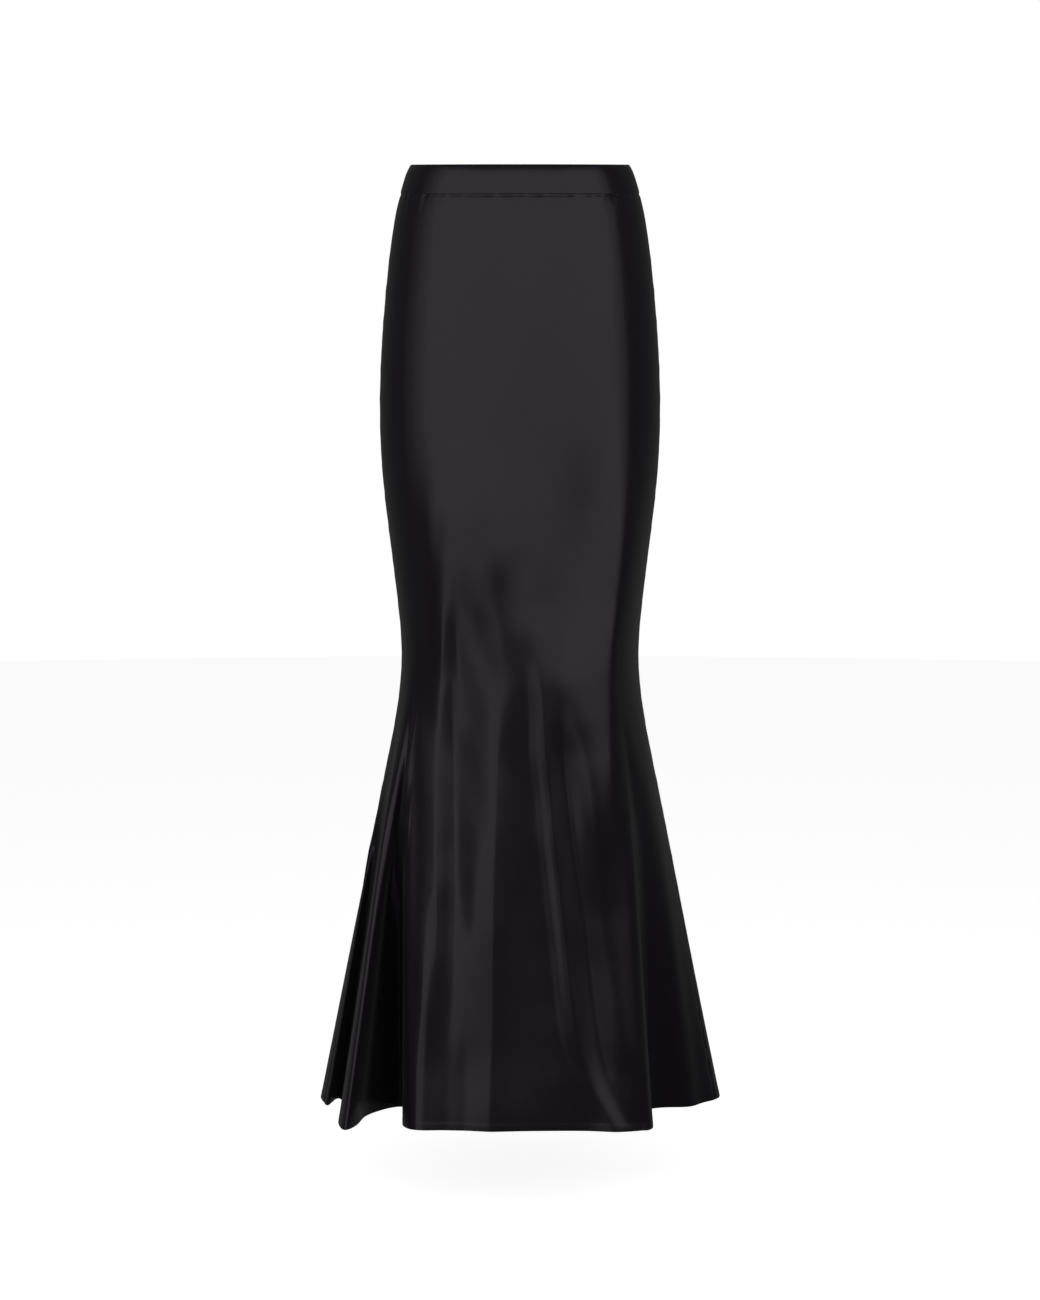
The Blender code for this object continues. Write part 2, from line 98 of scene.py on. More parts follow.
# the flutes: angle on the body, drop where the fold starts, place across and in depth at the hem
folds = (
    ("right side seam", -90, 0.62, -0.231, -0.031),
    ("right side flute", -85, 0.62, -0.2265, -0.048),
    ("right side hollow", -80, 0.62, -0.215, -0.006),
    ("right flute back", -76, 0.6, -0.2085, -0.024),
    ("right flute wall", -72, 0.6, -0.208, -0.164),
    ("right flute tip", -68, 0.58, -0.2, -0.19),
    ("right flute turn", -65, 0.58, -0.189, -0.166),
    ("right flute face", -61, 0.58, -0.176, -0.102),
    ("right recess", -56, 0.7, -0.14, -0.056),
    ("panel right wall", -53, 0.7, -0.133, -0.115),
    ("panel right turn", -51, 0.7, -0.13, -0.18),
    ("panel right corner", -48, 0.58, -0.119, -0.195),
    ("panel right", -36, 0.58, -0.086, -0.196),
    ("panel right middle", -18, 0.58, -0.043, -0.196),
    ("panel middle", 0, 0.58, 0.0, -0.197),
    ("panel left middle", 18, 0.58, 0.044, -0.199),
    ("panel left", 36, 0.58, 0.088, -0.205),
    ("panel left swell", 49, 0.58, 0.127, -0.211),
    ("panel left corner", 54, 0.6, 0.144, -0.198),
    ("panel left wall", 57, 0.62, 0.148, -0.13),
    ("left recess", 60, 0.66, 0.149, -0.074),
    ("left flat", 65, 0.68, 0.17, -0.06),
    ("left flat edge", 72, 0.68, 0.198, -0.056),
    ("left groove", 78, 0.66, 0.214, -0.034),
    ("left side seam", 90, 0.64, 0.231, -0.012),
    ("left back flute", 98, 0.62, 0.224, 0.044),
    ("left back hollow", 108, 0.6, 0.164, 0.056),
    ("left hind flute side", 117, 0.6, 0.188, 0.128),
    ("left hind flute", 124, 0.6, 0.168, 0.156),
    ("left hind hollow", 137, 0.6, 0.106, 0.101),
    ("left tail flute", 149, 0.6, 0.101, 0.192),
    ("left tail flute side", 157, 0.6, 0.07, 0.198),
    ("left tail hollow", 168, 0.62, 0.037, 0.129),
    ("back seam", 180, 0.62, 0.002, 0.164),
    ("right tail hollow", 192, 0.62, -0.035, 0.123),
    ("right tail flute side", 202, 0.6, -0.066, 0.201),
    ("right tail flute", 210, 0.6, -0.098, 0.193),
    ("right hind hollow", 223, 0.6, -0.107, 0.106),
    ("right hind flute", 236, 0.6, -0.17, 0.154),
    ("right hind flute side", 244, 0.6, -0.19, 0.126),
    ("right back hollow", 253, 0.6, -0.168, 0.059),
    ("right back flute", 262, 0.62, -0.224, 0.036),
)
foldNames = [fold[0] for fold in folds]
seamFolds = {
    "right": foldNames.index("right side seam"),
    "left": foldNames.index("left side seam"),
    "back": foldNames.index("back seam"),
}

form = {
    "foldEase": 0.22,          # how softly a fold opens below its start
    "columnStep": 0.004,       # widest column along the hem
    "seamShares": (0.03, 0.08, 0.16),  # extra columns beside a seam
    "facingGain": 2.0,         # relief fades out where the cloth turns away from its own side
    "facingStart": 0.3,
}


def cubicSlopes(knots, values, closed):
    # slopes of the smoothest cubic curve through the values
    count = len(values)
    widths = np.diff(knots)
    matrix = np.zeros((count, count))
    right = np.zeros(values.shape)
    for i in range(count):
        if not closed and i in (0, count - 1):
            near = 1 if i == 0 else count - 2
            matrix[i, i], matrix[i, near] = 2.0, 1.0
            right[i] = 3.0 * (values[near] - values[i]) / (knots[near] - knots[i])
            continue
        before, after = widths[i - 1], widths[i % len(widths)]
        following = (i + 1) % count
        matrix[i, i - 1] += 1.0 / before
        matrix[i, i] += 2.0 / before + 2.0 / after
        matrix[i, following] += 1.0 / after
        right[i] = 3.0 * ((values[i] - values[i - 1]) / before ** 2
                          + (values[following] - values[i]) / after ** 2)
    return np.linalg.solve(matrix, right)


def hermite(start, end, slopeIn, slopeOut, width, t):
    # cubic from start to end with these slopes, read at the share t of the width
    return ((1 + 2 * t) * (1 - t) ** 2 * start + t * t * (3 - 2 * t) * end
            + width * (t * (1 - t) ** 2 * slopeIn - t * t * (1 - t) * slopeOut))


sectionDrops = np.array([row[1] for row in sections])
sectionSizes = np.array([row[2:] for row in sections])
sectionSlopes = cubicSlopes(sectionDrops, sectionSizes, False)


def readSections(drops):
    # half width, reach forward, reach back and flatness of the level section at each drop
    i = np.clip(np.searchsorted(sectionDrops, drops) - 1, 0, len(sections) - 2)
    width = sectionDrops[i + 1] - sectionDrops[i]
    share = ((drops - sectionDrops[i]) / width)[..., None]
    return hermite(sectionSizes[i], sectionSizes[i + 1], sectionSlopes[i], sectionSlopes[i + 1],
                   width[..., None], share)


def bodyPoints(degrees, drops):
    # unfolded cloth at each drop (rows) and angle (columns)
    sizes = readSections(drops)[:, None, :]
    angle = np.radians(degrees)[None, :]
    across, ahead = np.sin(angle), np.cos(angle)
    front = np.repeat(sizes[..., 1], len(degrees), axis=1)
    for _, middle, level, reach, rise, fall, push in swells:
        around = (degrees[None, :] - middle) / reach
        down = (drops[:, None] - level) / np.where(drops[:, None] < level, rise, fall)
        front += push * np.exp(-around ** 2 - down ** 2)
    frontY = -front * ahead * (1 + sizes[..., 3] * across ** 2)
    y = np.where(ahead > 1e-9, frontY, -sizes[..., 2] * ahead)
    return np.stack((sizes[..., 0] * across, y), axis=2)


def foldShare(drops, start):
    # how far a fold has opened: nothing above its start, all at the hem
    ease = form["foldEase"]
    run = np.maximum(0.0, (drops - start) / (skirtLength - start))
    return (np.hypot(run, ease) - ease) / (math.hypot(1.0, ease) - ease)


def foldLines(drops):
    # place of every fold line at each drop
    degrees = np.array([fold[1] for fold in folds], dtype=float)
    feet = np.array([fold[3:] for fold in folds])
    shift = feet - bodyPoints(degrees, np.array([skirtLength]))[0]
    share = np.stack([foldShare(drops, fold[2]) for fold in folds], axis=1)
    return bodyPoints(degrees, drops) + shift[None] * share[..., None]


def columnPlaces():
    # columns as (fold, share towards the next), closest beside the seams
    places = []
    for i, fold in enumerate(folds):
        after = folds[(i + 1) % len(folds)]
        count = max(3, round(math.dist(fold[3:], after[3:]) / form["columnStep"]))
        shares = {round(k / count, 4) for k in range(count)}
        if i in seamFolds.values():
            shares |= set(form["seamShares"])
        if (i + 1) % len(folds) in seamFolds.values():
            shares |= {1 - s for s in form["seamShares"]}
        places += [(i, s) for s in sorted(shares)]
    return places


places = columnPlaces()
placeFold = np.array([p[0] for p in places])
placeShare = np.array([p[1] for p in places])
seamColumn = {side: places.index((fold, 0.0)) for side, fold in seamFolds.items()}


def clothGrid(drops):
    # outer points of the whole tube: a row for each drop, a column for each place
    lines = foldLines(drops)
    rows = []
    for drop, line in zip(drops, lines):
        steps = np.linalg.norm(np.roll(line, -1, axis=0) - line, axis=1)
        slopes = cubicSlopes(np.concatenate(([0.0], np.cumsum(steps))), line, True)
        after = (placeFold + 1) % len(folds)
        flat = hermite(line[placeFold], line[after], slopes[placeFold], slopes[after],
                       steps[placeFold][:, None], placeShare[:, None])
        rows.append(np.column_stack((flat, np.full(len(flat), -drop))))
    return np.array(rows)


def gridNormals(grid, down):
    # outward normals of a closed grid, from its own columns and the way down at each point
    around = np.roll(grid, -1, axis=1) - np.roll(grid, 1, axis=1)
    normals = np.cross(down, around)
    return normals / np.linalg.norm(normals, axis=2, keepdims=True)


# soft fold lines that run down the cloth, with nearly flat cloth between one and the next: how
# soft the bend is, then rows of drop, place across and how far the cloth stands forward, all in mm
frontLines = (
    ("right edge", 6, (
        (300, -128, 0), (540, -128, 0), (632, -131, 0), (1000, -134, 0), (1100, -134, -2))),
    ("right hollow", 5, (
        (300, -116, 0), (540, -116, 0), (590, -118, -2), (632, -121, -4), (678, -121, -5),
        (724, -121, -5), (816, -121, -4), (907, -121, -3), (998, -121, -4), (1100, -122, -6))),
    ("right rise", 4, (
        (300, -104, 0), (360, -104, 2), (404, -104, 5), (449, -104, 6), (495, -104, 5), (540, -104, 2),
        (590, -107, -2), (632, -109, -3), (678, -110, 0), (724, -111, 1), (770, -111, 1),
        (816, -111, 1), (861, -111, 1), (907, -111, 1), (952, -111, 0), (998, -111, -3),
        (1042, -112, -6), (1100, -112, -8))),
    ("right crest", 3, (
        (300, -90, 0), (360, -90, 3), (404, -90, 5), (449, -90, 5), (495, -90, 4), (540, -90, 3),
        (590, -92, 2), (632, -94, 2), (678, -95, 3), (724, -95, 4), (770, -95, 5), (816, -94, 5),
        (861, -93, 3), (907, -92, 1), (952, -94, -2), (998, -96, -5), (1042, -98, -7),
        (1100, -101, -8))),
    ("band foot", 4, (
        (300, -74, 0), (360, -74, 3), (404, -74, 5), (449, -74, 4), (495, -74, 2), (540, -74, -2),
        (590, -74, -6), (632, -76, -8), (678, -77, -10), (724, -77, -10), (770, -77, -10),
        (816, -77, -9), (861, -77, -8), (907, -79, -6), (952, -81, -5), (998, -84, -5), (1042, -86, -6),
        (1100, -88, -7))),
    ("band split", 5, (
        (300, -60, 0), (360, -60, 3), (404, -60, 5), (449, -60, 4), (495, -60, 2), (540, -60, -1),
        (590, -60, -5), (632, -60, -7), (678, -60, -7), (724, -61, -6), (770, -61, -5), (816, -62, -4),
        (861, -63, -4), (907, -65, -3), (952, -67, -3), (998, -70, -3), (1042, -72, -4),
        (1100, -74, -4))),
    ("band middle", 5, (
        (300, -48, 0), (360, -48, 3), (404, -48, 4), (449, -48, 4), (495, -48, 3), (540, -48, 0),
        (590, -48, -3), (632, -50, -5), (678, -50, -4), (724, -50, -3), (770, -51, -1), (816, -52, 0),
        (861, -53, 0), (907, -55, -1), (952, -57, -2), (998, -59, -3), (1042, -60, -4),
        (1100, -60, -3))),
    ("band edge", 4, (
        (300, -24, 0), (404, -24, 3), (450, -24, 4), (495, -24, 3), (540, -23, 3), (590, -23, 2),
        (632, -26, 2), (678, -27, 3), (724, -27, 5), (770, -27, 6), (816, -28, 6), (861, -28, 6),
        (907, -29, 5), (952, -29, 4), (1042, -32, 3), (1100, -34, 3))),
    ("panel right", 6, (
        (300, -2, 0), (450, -2, 0), (495, -2, 1), (540, -4, 3), (590, -6, 3), (632, -8, 2),
        (678, -8, 0), (724, -6, -1), (770, -5, -2), (816, -4, -3), (861, -4, -4), (952, -2, -4),
        (1042, 0, -3), (1100, 0, -2))),
    ("ridge foot", 4, (
        (300, 6, 0), (450, 6, 0), (495, 6, 2), (540, 6, 4), (590, 8, 3), (632, 12, 1), (678, 15, 0),
        (724, 20, -2), (770, 24, -3), (816, 29, -5), (861, 34, -6), (907, 38, -7), (952, 42, -7),
        (998, 47, -6), (1042, 56, -6), (1065, 64, -7), (1100, 80, -9))),
    ("ridge crest", 3, (
        (300, 24, 0), (495, 24, 2), (540, 24, 5), (590, 26, 7), (632, 28, 7), (678, 31, 6),
        (724, 36, 4), (770, 40, 3), (816, 45, 1), (861, 50, 0), (907, 55, -1), (952, 60, -1),
        (998, 67, -2), (1042, 79, -5), (1065, 89, -7), (1100, 109, -11))),
    ("thigh hollow", 5, (
        (300, 74, 0), (360, 74, -2), (404, 74, -4), (449, 72, -5), (495, 68, -4), (540, 58, 0),
        (590, 46, 4), (632, 44, 2), (678, 47, -4), (724, 52, -8), (770, 57, -11), (816, 64, -13),
        (861, 70, -14), (907, 75, -14), (952, 80, -13), (998, 87, -12), (1042, 98, -13),
        (1065, 107, -14), (1100, 125, -16))),
    ("shin crest", 6, (
        (300, 100, 0), (449, 100, -2), (495, 104, 0), (540, 106, 6), (590, 106, 11), (632, 105, 13),
        (678, 103, 12), (724, 101, 8), (770, 98, 2), (816, 94, -4), (861, 96, -7), (907, 102, -7),
        (952, 108, -7), (998, 116, -8), (1042, 128, -11), (1065, 134, -12), (1100, 141, -14))),
    ("left edge", 6, ((300, 136, 0), (540, 134, 0), (700, 134, 0), (1000, 138, 0), (1100, 148, -2))),
)

# the back's own folds, of the same kind: from under the seat past the calves and into the flutes
backLines = (
    ("right back edge", 6, ((300, -134, 0), (640, -136, 0), (1100, -150, 0))),
    ("right back hollow", 5, (
        (300, -104, 0), (380, -103, -2), (470, -100, -5), (560, -99, -4), (660, -102, -6),
        (800, -108, -5), (950, -116, -2), (1100, -124, 0))),
    ("right calf crest", 5, (
        (300, -80, 0), (400, -80, 2), (500, -77, 4), (600, -75, 6), (700, -78, 4), (820, -84, 1),
        (950, -92, 0), (1100, -100, 0))),
    ("right inner hollow", 5, (
        (300, -54, 0), (420, -54, -2), (520, -51, -5), (610, -48, -6), (700, -50, -4), (820, -54, -2),
        (1100, -62, 0))),
    ("right seat fall", 5, (
        (300, -28, 0), (390, -28, 2), (500, -26, 4), (600, -25, 2), (720, -25, 0), (1100, -26, 0))),
    ("centre back", 5, (
        (300, 2, 0), (420, 2, 0), (540, 1, -3), (640, 0, -4), (800, 0, -1), (1100, 0, 0))),
    ("left seat fall", 5, (
        (300, 31, 0), (370, 31, 2), (470, 32, 5), (580, 32, 3), (700, 33, -1), (860, 34, 0),
        (1100, 35, 0))),
    ("left inner hollow", 5, (
        (300, 58, 0), (440, 58, -4), (560, 56, -7), (660, 56, -5), (780, 59, -1), (1100, 66, 0))),
    ("left calf crest", 5, (
        (300, 86, 0), (420, 86, 1), (540, 83, 5), (640, 81, 8), (760, 85, 4), (880, 92, 1),
        (1100, 104, 0))),
    ("left back hollow", 5, (
        (300, 110, 0), (420, 109, -2), (520, 107, -5), (640, 107, -6), (760, 112, -3), (1100, 127, 0))),
    ("left back edge", 6, ((300, 136, 0), (640, 138, 0), (1100, 152, 0))),
)

# wide soft swells and hollows over the hips: drop, place across, reach down, reach across, stand (mm)
hipSwells = (
    ("right belly hollow", 170, -38, 75, 26, -2.5),
    ("middle belly swell", 150, 26, 60, 26, 1.5),
    ("left belly hollow", 120, 74, 60, 24, -2.0),
    ("right thigh swell", 330, -62, 90, 30, 1.5),
    ("middle thigh hollow", 330, 4, 80, 30, -1.5),
    ("left thigh hollow", 420, 72, 90, 36, -2.5),
    ("left thigh stripe", 400, 110, 90, 12, 1.6),
)


def softSlopes(knots, values):
    # slopes of a smooth curve that never swings past its values
    rates = np.diff(values) / np.diff(knots)
    before, after = rates[:-1], rates[1:]
    same = before * after > 0
    inner = np.where(same, 2 * before * after / np.where(same, before + after, 1.0), 0.0)
    return np.concatenate(([0.0], inner, [0.0]))


def softCurve(knots, values, x):
    # the smooth curve's value at x, level beyond both ends
    slopes = softSlopes(knots, values)
    x = np.clip(x, knots[0], knots[-1])
    i = np.clip(np.searchsorted(knots, x) - 1, 0, len(knots) - 2)
    width = knots[i + 1] - knots[i]
    return hermite(values[i], values[i + 1], slopes[i], slopes[i + 1], width, (x - knots[i]) / width)


def facing(normals, side):
    # 1 where the cloth looks forward (side 1) or back (side -1), 0 past its own side
    return np.clip(-side * normals[..., 1] * form["facingGain"] - form["facingStart"], 0.0, 1.0)


def foldRelief(grid, normals, lines, side):
    # how far forward the cloth stands of the plain form at every point of the grid
    drops = -grid[:, 0, 2]
    tables = [np.array(rows, dtype=float) / 1000 for _, _, rows in lines]
    places = np.stack([softCurve(table[:, 0], table[:, 1], drops) for table in tables], axis=1)
    stands = np.stack([softCurve(table[:, 0], table[:, 2], drops) for table in tables], axis=1)
    none = np.zeros((len(drops), 1))
    slopes = np.diff(stands, axis=1) / np.diff(places, axis=1)
    bends = np.diff(np.concatenate((none, slopes, none), axis=1), axis=1)
    relief = np.zeros(grid.shape[:2])
    for (_, soft, _), place, bend in zip(lines, places.T, bends.T):
        across = grid[..., 0] - place[:, None]
        relief += bend[:, None] * (across + np.hypot(across, soft / 1000)) / 2
    return relief * facing(normals, side)


def swellRelief(grid, normals):
    # how far forward the hips stand in their wide soft swells
    drops, across = -grid[..., 2] * 1000, grid[..., 0] * 1000
    relief = np.zeros(grid.shape[:2])
    for _, drop, place, down, reach, stand in hipSwells:
        relief += stand / 1000 * np.exp(-((drops - drop) / down) ** 2 - ((across - place) / reach) ** 2)
    return relief * facing(normals, 1)


cloth = {
    "shell": 0.0008,           # satin thickness
    "seamTurn": 0.002,         # how far a sewn edge turns in behind its seam
    "seamLap": 0.0001,         # and how far it passes the seam line there
    "seamDip": 0.0009,         # how far an edge rolls in at its seam
    "seamReach": 0.0032,       # how far from the seam the roll starts
    "puckerDepth": 0.00022,    # small gathers that the thread draws along a bias seam
    "puckerReach": 0.009,
    "puckerPitches": (0.0115, 0.0187, 0.031),
    "hemHeight": 0.009,        # narrow hem, turned twice
    "hemStep": 0.00012,        # how far the turned hem stands proud
    "hemRise": 0.0024,         # height over which it comes to stand so
    "topGap": 0.0002,          # band's lower edge to the panels' seam line
    "topRows": (-0.003, -0.0006, 0.0006, 0.0014, 0.0026, 0.0044),  # from that seam line
    "rowStep": 0.009,          # widest row between the top rows and the hem
    "hemGap": 0.0015,          # last of those rows above the hem
    "hemRows": (0.0, 0.0012, 0.003, 0.006, 0.0084, 0.009),  # from the hem's top
    # what each panel was cut to before it was sewn: flat width and length (m), and area (m2)
    "flat": {
        "frontPanel": ((1.14, 1.09), 0.602),
        "backPanelLeft": ((0.56, 1.09), 0.289),
        "backPanelRight": ((0.56, 1.09), 0.292),
    },
}
panelTop = bandHeight + cloth["topGap"]
hemTop = skirtLength - cloth["hemHeight"]


def panelDrops():
    # rows of the panels, close together at the waist seam and in the hem
    fine = panelTop + np.array(cloth["topRows"])
    foot = hemTop - cloth["hemGap"]
    count = round((foot - fine[-1]) / cloth["rowStep"])
    body = np.linspace(fine[-1], foot, count + 1)[1:]
    return np.concatenate((fine, body, hemTop + np.array(cloth["hemRows"])))


def meshObject(name, verts, faces, materials):
    # a smooth-shaded object of these points and faces
    mesh = bpy.data.meshes.new(name)
    mesh.from_pydata([tuple(v) for v in verts], [], faces)
    mesh.validate()
    mesh.shade_smooth()
    return placeMesh(name, mesh, materials)


def placeMesh(name, mesh, materials):
    # an object of this mesh in the scene, with its materials
    for material in materials:
        mesh.materials.append(material)
    made = bpy.data.objects.new(name, mesh)
    bpy.context.scene.collection.objects.link(made)
    return made


def writeUv(made, across, down):
    # UVs in metres along the cloth, so that every weave has its real size
    layer = made.data.uv_layers.new(name="cloth")
    corner = np.zeros(len(made.data.loops), dtype=int)
    made.data.loops.foreach_get("vertex_index", corner)
    flat = np.stack((across.reshape(-1)[corner], down.reshape(-1)[corner]), axis=1)
    layer.data.foreach_set("uv", flat.reshape(-1))


def shellObject(name, grid, thickness, materials, across, down):
    # a sheet from a grid of outer points, given its thickness inwards
    rows, columns = grid.shape[:2]
    index = np.arange(rows * columns).reshape(rows, columns)
    faces = np.stack((index[:-1, :-1], index[1:, :-1], index[1:, 1:], index[:-1, 1:]), axis=2)
    made = meshObject(name, grid.reshape(-1, 3), faces.reshape(-1, 4).tolist(), materials)
    writeUv(made, across, down)
    solid = made.modifiers.new("thickness", "SOLIDIFY")
    solid.thickness = thickness
    solid.offset = -1.0
    if len(materials) > 1:
        solid.material_offset = 1
        solid.material_offset_rim = 0
    return made


def arcLengths(grid):
    # distance along each row from its first column, in metres
    steps = np.linalg.norm(np.diff(grid, axis=1), axis=2)
    return np.concatenate((np.zeros((len(grid), 1)), np.cumsum(steps, axis=1)), axis=1)


def pucker(along, away, phase):
    # uneven little waves along a seam that die out away from it
    waves = sum(np.sin(2 * math.pi * along / pitch + phase * (k + 1))
                for k, pitch in enumerate(cloth["puckerPitches"]))
    return cloth["puckerDepth"] * waves * np.exp(-away / cloth["puckerReach"])


def turnEdges(piece, normals, across):
    # one more column at each side, where the sewn edge turns in and laps its neighbour's
    sides = []
    for at, near in ((0, 1), (-1, -2)):
        along = piece[:, at] - piece[:, near]
        along /= np.linalg.norm(along, axis=1, keepdims=True)
        sides.append(piece[:, at] + along * cloth["seamLap"] - normals[:, at] * cloth["seamTurn"])
    turn = cloth["seamTurn"]
    piece = np.concatenate((sides[0][:, None], piece, sides[1][:, None]), axis=1)
    across = np.concatenate((across[:, :1] - turn, across, across[:, -1:] + turn), axis=1)
    return piece, across


def ride(made, cadNode=None, body="skirt"):
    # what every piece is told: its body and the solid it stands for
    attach(made, body)
    if cadNode:
        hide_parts(cadNode)
    return made


def buildPanels(materials):
    # front panel and two back panels, one thin shell each
    drops = panelDrops()
    grid = clothGrid(drops)
    normals = gridNormals(grid, np.gradient(grid, axis=0))
    grid[..., 1] -= foldRelief(grid, normals, frontLines, 1) + swellRelief(grid, normals)
    grid[..., 1] += foldRelief(grid, normals, backLines, -1)
    normals = gridNormals(grid, np.gradient(grid, axis=0))
    below = np.maximum(drops - panelTop, 0.0)
    topDip = cloth["seamDip"] * np.exp(-(below / cloth["seamReach"]) ** 2)
    hemLift = cloth["hemStep"] * np.clip((drops - hemTop) / cloth["hemRise"], 0.0, 1.0)
    grid = grid + normals * (hemLift - topDip)[:, None, None]
    last = len(places)
    cuts = (
        ("frontPanel", "panel_front", seamColumn["right"], seamColumn["left"]),
        ("backPanelLeft", "panel_back_left", seamColumn["left"], seamColumn["back"]),
        ("backPanelRight", "panel_back_right", seamColumn["back"], last),
    )
    panels, hems = {}, []
    for phase, (name, cadNode, first, end) in enumerate(cuts):
        columns = np.arange(first, end + 1) % last
        piece, pieceNormals = grid[:, columns], normals[:, columns]
        across = arcLengths(piece)
        total = across[:, -1:]
        edge = np.minimum(across, total - across)
        dip = cloth["seamDip"] * np.exp(-(edge / cloth["seamReach"]) ** 2)
        dip = dip + pucker(drops[:, None], edge, phase) + pucker(across, below[:, None], phase + 3)
        piece = piece - pieceNormals * dip[..., None]
        piece, across = turnEdges(piece, pieceNormals, across)
        down = np.repeat(drops[:, None], piece.shape[1], axis=1)
        panels[name] = shellObject(name, piece, cloth["shell"], materials, across - total / 2, down)
        ride(panels[name], cadNode)
        hems.append((piece[thread["row"], 1:-1], pieceNormals[thread["row"]]))
    print("panels:", {name: len(piece.data.polygons) for name, piece in panels.items()})
    return panels, hems


thread = {
    "width": 0.00032,
    "stitch": 0.0022,
    "pitch": 0.0028,
    "row": -4,                 # the panels' row of points that the stitches follow, from the hem's edge
    "margins": (0.004, 0.006),  # bare hem before the first stitch and after the last
    "pad": ((0.0, 0.25), (0.5, 1.0), (1.0, 0.25)),  # share along a stitch and share of its width
    "rise": 1.2,               # how much more than half the width a stitch stands out
    "colours": ("#121113", "#1c1a1e"),
    "roughness": (0.55, 0.75),
    "grainMm": 0.3,
    "reliefMm": 0.03,
    "specular": 0.3,
}


def buildStitches(hems, material):
    # one row of small stitches holds the turned hem, each a little pad that sinks in at its ends
    verts, faces = [], []
    before, after = thread["margins"]
    for line, outward in hems:
        length = np.concatenate(([0.0], np.cumsum(np.linalg.norm(np.diff(line, axis=0), axis=1))))
        for start in np.arange(before, length[-1] - after, thread["pitch"]):
            base = len(verts)
            for share, size in thread["pad"]:
                at = start + share * thread["stitch"]
                point = np.array([np.interp(at, length, line[:, k]) for k in range(3)])
                out = np.array([np.interp(at, length, outward[:, k]) for k in range(3)])
                half = thread["width"] / 2 * size
                up = (np.array((0.0, 0.0, 1.0)) - out * out[2]) * half
                out = out * half
                verts += [point + up, point + out * thread["rise"], point - up, point - out]
            for ring in (0, 4):
                for k in range(4):
                    a, b = base + ring + k, base + ring + (k + 1) % 4
                    faces.append((a, b, b + 4, a + 4))
            faces += [(base + 3, base + 2, base + 1, base), (base + 8, base + 9, base + 10, base + 11)]
    made = meshObject("hemStitches", verts, faces, [material])
    ride(made)
    print("hem stitches:", len(verts) // 12)


band = {
    "wall": 0.002,             # two layers and the stiffening
    "rollHeight": 0.015,       # the top edge rolls in over this height
    "rollIn": 0.0022,
    "foldRadius": 0.001,
    "footDip": 0.0007,         # the sewn lower edge sinks in
    "lap": 0.0001,             # sewn ends pass into each other by this
    "parting": 0.0011,         # half the opening at the zip's slider
    "partingFoot": 0.0175,     # drop where it starts to close
    "footGap": 0.0001,         # lower edge above the seam line
    "outerRows": (0.0012, 0.0025, 0.0045, 0.007, 0.01, 0.013, 0.017, 0.022, 0.027, 0.0305),
    "innerRows": (0.027, 0.02, 0.013, 0.008, 0.004, 0.0018),
    "footRows": ((0.0018, 0.0001), (0.0007, 0.0004)),  # height above the lower edge, and inset
    "footRounding": (0.0006, 0.0003),  # height and depth of its inner corner
    "crownShare": 0.95,        # share of the roll that the crown starts with
    "crownTurns": (0.5, 1.0, math.pi / 2, 2.14, 2.64),
    # what each piece was cut to before it was sewn: flat width and height (m)
    "flat": {
        "bandFront": (0.37, 0.036),
        "bandBackLeft": (0.185, 0.036),
        "bandBackRight": (0.185, 0.036),
    },
}


def bandProfile():
    # (drop, inset) round the band's section: down the outside, under, and up the inside
    wall, fold = band["wall"], band["foldRadius"]
    foot = bandHeight - band["footGap"]

    def rolled(drops, depth):
        return [(d, depth + band["rollIn"] * max(0.0, 1 - d / band["rollHeight"]) ** 2) for d in drops]

    outside = rolled(band["outerRows"], 0.0)
    outside += [(foot - height, inset) for height, inset in band["footRows"]] + [(foot, band["footDip"])]
    height, depth = band["footRounding"]
    inside = [(foot, wall - depth), (foot - height, wall)] + rolled(band["innerRows"], wall)
    middle = band["rollIn"] * band["crownShare"] + wall / 2
    crown = [(fold * (1 - math.sin(a)), middle + wall / 2 * math.cos(a)) for a in band["crownTurns"]]
    return np.array(outside + inside + crown)


def buildBand(material):
    # the waistband in three closed pieces
    drops, insets = bandProfile().T
    grid = clothGrid(drops)
    step = 0.001
    grid -= gridNormals(grid, clothGrid(drops + step) - clothGrid(drops - step)) * insets[:, None, None]
    last = len(places)
    foot = band["partingFoot"]
    closed = np.clip((drops - foot) / (bandHeight - foot), 0.0, 1.0)[:, None]
    cuts = (
        ("bandFront", "waistband_front", seamColumn["right"], seamColumn["left"], (False, False)),
        ("bandBackLeft", "waistband_back_left", seamColumn["left"], seamColumn["back"], (False, True)),
        ("bandBackRight", "waistband_back_right", seamColumn["back"], last, (True, False)),
    )
    pieces = {}
    for name, cadNode, first, end, atZip in cuts:
        piece = grid[:, np.arange(first, end + 1) % last].copy()
        for (at, near), parted in zip(((0, 1), (-1, -2)), atZip):
            along = piece[:, near] - piece[:, at]
            along /= np.linalg.norm(along, axis=1, keepdims=True)
            piece[:, at] += along * (band["parting"] * (1 - closed) * parted - band["lap"])
        rows, count = piece.shape[:2]
        index = np.arange(rows * count).reshape(rows, count)
        under = np.roll(index, -1, axis=0)
        faces = np.stack((index[:, :-1], under[:, :-1], under[:, 1:], index[:, 1:]), axis=2)
        faces = faces.reshape(-1, 4).tolist() + [index[:, 0].tolist(), index[::-1, -1].tolist()]
        made = meshObject(name, piece.reshape(-1, 3), faces, [material])
        writeUv(made, arcLengths(piece), np.repeat(drops[:, None], count, axis=1))
        pieces[name] = ride(made, cadNode)
    print("waistband:", {name: len(piece.data.polygons) for name, piece in pieces.items()})
    return pieces


